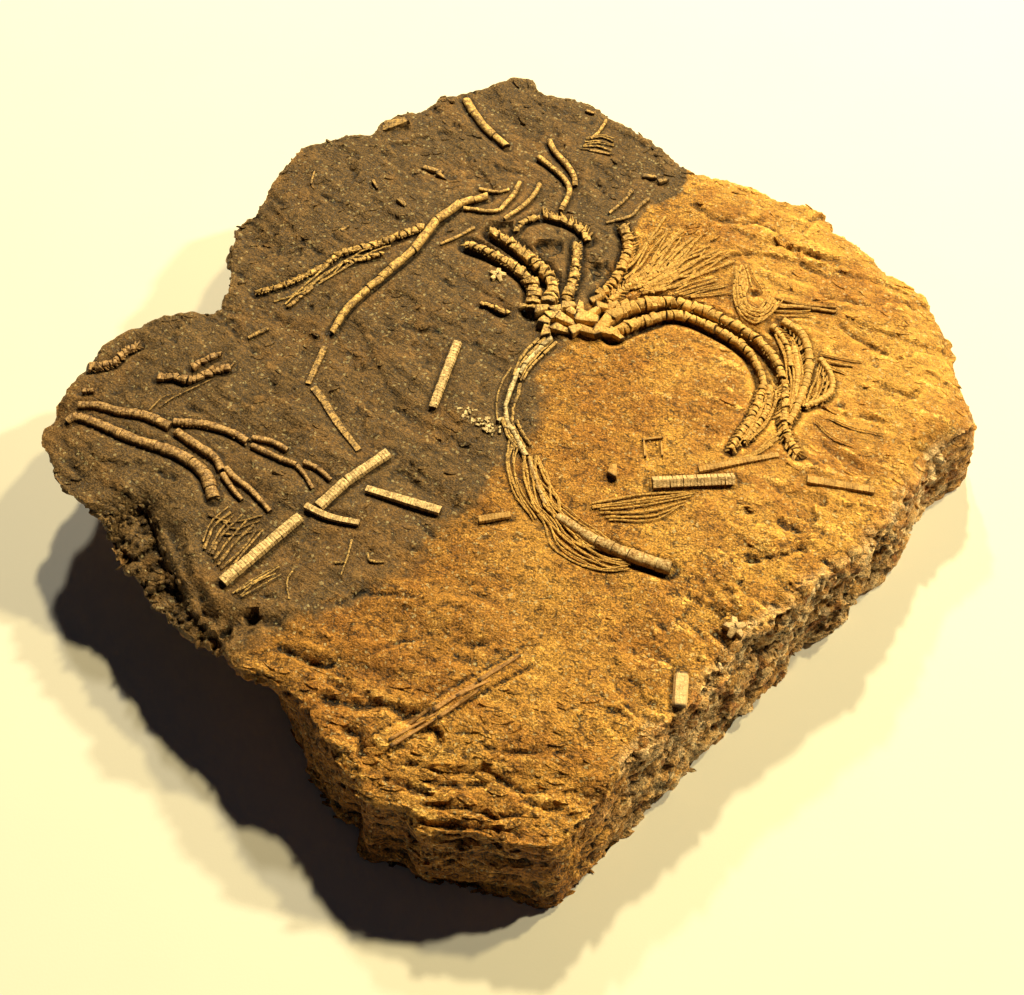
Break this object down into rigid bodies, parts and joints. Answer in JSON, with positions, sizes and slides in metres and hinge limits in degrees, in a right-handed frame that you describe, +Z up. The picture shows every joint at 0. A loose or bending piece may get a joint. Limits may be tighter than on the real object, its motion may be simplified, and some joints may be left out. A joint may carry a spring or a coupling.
{
  "type": "crinoid fossil slab",
  "caption": "Broken siltstone slab lying on its flat underside, with crinoid crowns, arms, jointed stems and loose stem columns standing in low relief on its top.",
  "frame": {"origin": "a point on the flat underside, below the middle of the slab's top outline", "axes": "+Z up, square to the flat underside; +X to the right and +Y away from a viewer who stands at the slab's narrow front corner"},
  "size_m": [0.341, 0.3332, 0.0481],
  "materials": {
    "siltstone": "rough fine-grained broken stone, dark grey-brown to ochre",
    "crinoid": "tan fossil calcite, slightly polished on its crests",
    "loose_columns": "pale tan fossil calcite, finely ridged"
  },
  "bodies": {
    "root": {"arm_back_bow": "crinoid", "arm_back_hook": "crinoid", "arm_back_middle": "crinoid", "arm_back_right": "crinoid", "arm_curl_inner": "crinoid", "arm_curl_outer": "crinoid", "arm_fork_inner": "crinoid", "arm_fork_outer": "crinoid", "arm_left_inner": "crinoid", "arm_left_outer": "crinoid", "arm_pinnulate": "crinoid", "arm_sweep_inner": "crinoid", "arm_sweep_outer": "crinoid", "arm_tail": "crinoid", "arm_third_sweep": "crinoid", "back_arm_left": "crinoid", "back_arm_right": "crinoid", "back_bar": "crinoid", "back_twig_left": "crinoid", "back_twig_middle": "crinoid", "crossing_column": "loose_columns", "cup_plate_left": "crinoid", "cup_plate_middle": "crinoid", "cup_plate_right": "crinoid", "edge_arm": "crinoid", "edge_piece_lower": "crinoid", "edge_piece_upper": "crinoid", "flared_column": "loose_columns", "jointed_stem_1": "crinoid", "jointed_stem_2": "crinoid", "jointed_stem_3": "crinoid", "jointed_stem_4": "crinoid", "jointed_stem_5": "crinoid", "knobbly_arm": "crinoid", "long_column_lower": "loose_columns", "long_column_middle": "loose_columns", "long_column_upper": "loose_columns", "low_column": "loose_columns", "matrix_slab": "siltstone", "ridged_column": "loose_columns", "short_column": "loose_columns", "side_arm_lower": "crinoid", "side_arm_trunk": "crinoid", "side_fork_lower": "crinoid", "side_fork_lower_right": "crinoid", "side_fork_upper": "crinoid", "side_twig_lower": "crinoid", "side_twig_lower_right": "crinoid", "side_twig_upper": "crinoid", "star_ossicle": "loose_columns", "stem_cirri_bundle": "crinoid", "stem_column_end": "crinoid", "stem_column_middle": "crinoid", "stem_column_upper": "crinoid", "stem_lower": "crinoid", "stem_middle": "crinoid", "stem_top": "crinoid", "upright_column": "loose_columns"}
  },
  "joints": []
}
